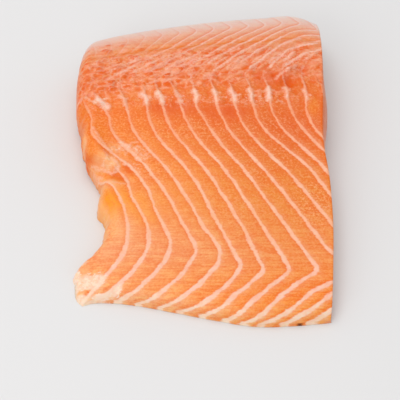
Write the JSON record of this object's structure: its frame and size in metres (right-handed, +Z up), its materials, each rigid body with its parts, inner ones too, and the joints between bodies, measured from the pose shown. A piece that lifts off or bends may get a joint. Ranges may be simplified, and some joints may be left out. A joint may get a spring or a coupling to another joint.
{
  "type": "raw salmon fillet",
  "caption": "Skinless raw salmon fillet lying flat: a middle cut with a thin belly flap, a thick back and a ragged tail-end cut.",
  "frame": {"origin": "middle of the outline's box, on the flat underside", "axes": "+X along the fish towards the head, +Y across it from the belly edge to the back edge, +Z up from the board"},
  "size_m": [0.149, 0.2282, 0.0342],
  "materials": {
    "flesh": "moist raw salmon flesh: orange muscle crossed by pale pinkish-white fat lines, wet sheen"
  },
  "bodies": {
    "root": {"fillet": "flesh"}
  },
  "joints": []
}
